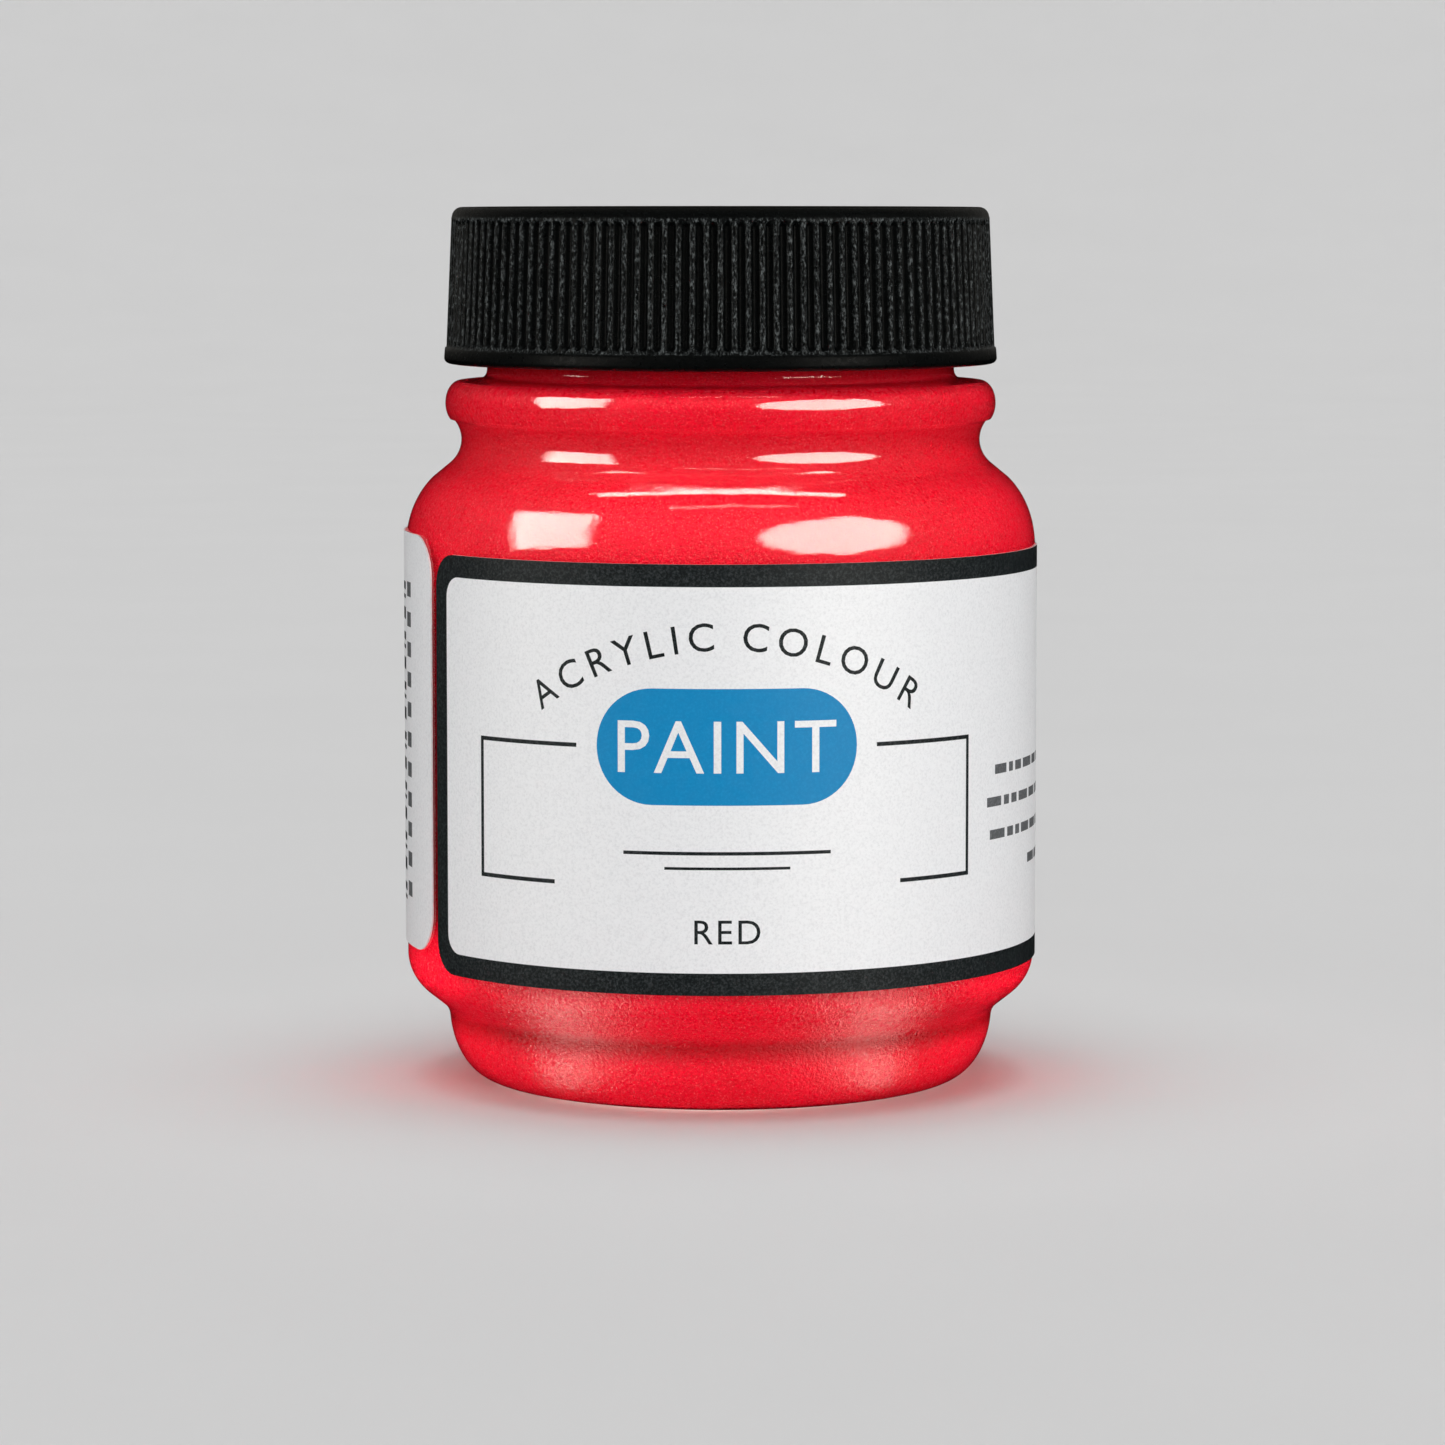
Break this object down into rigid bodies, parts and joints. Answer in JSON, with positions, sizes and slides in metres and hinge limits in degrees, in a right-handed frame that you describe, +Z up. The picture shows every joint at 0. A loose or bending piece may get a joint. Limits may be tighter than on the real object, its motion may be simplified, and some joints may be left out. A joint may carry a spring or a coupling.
{
  "type": "paint jar",
  "caption": "Small round screw-top paint jar: clear body with a beaded shoulder and stepped foot, ribbed screw cap with liner, wrap labels and a full fill of paint.",
  "frame": {"origin": "centre of the ring that the jar stands on", "axes": "+Z up the jar's axis, -Y towards the front of the label, +X to the viewer's right"},
  "size_m": [0.0472, 0.0472, 0.065],
  "materials": {
    "jar_plastic": "clear, glossy moulded plastic",
    "paint": "opaque red acrylic paint, wet against the wall",
    "label_paper": "satin coated paper",
    "liner_foam": "white foamed polyethylene",
    "cap_plastic": "satin black moulded plastic"
  },
  "bodies": {
    "jar": {"jar": "jar_plastic", "paint": "paint", "front_label": "label_paper", "back_label": "label_paper"},
    "liner": {"liner": "liner_foam"},
    "cap": {"cap": "cap_plastic"}
  },
  "joints": [
    {"name": "cap_rise", "type": "slide", "parent": "jar", "child": "liner", "axis": [0, 0, 1], "range_m": [0, 0.017]},
    {"name": "cap_turn", "type": "hinge", "parent": "liner", "child": "cap", "pos_m": [0, 0, 0.0637], "axis": [0, 0, 1], "range_deg": [0, 1440]}
  ],
  "couplings": [
    {"joint": "cap_rise", "follows": "cap_turn", "m_per_rad": 0.00067376}
  ]
}
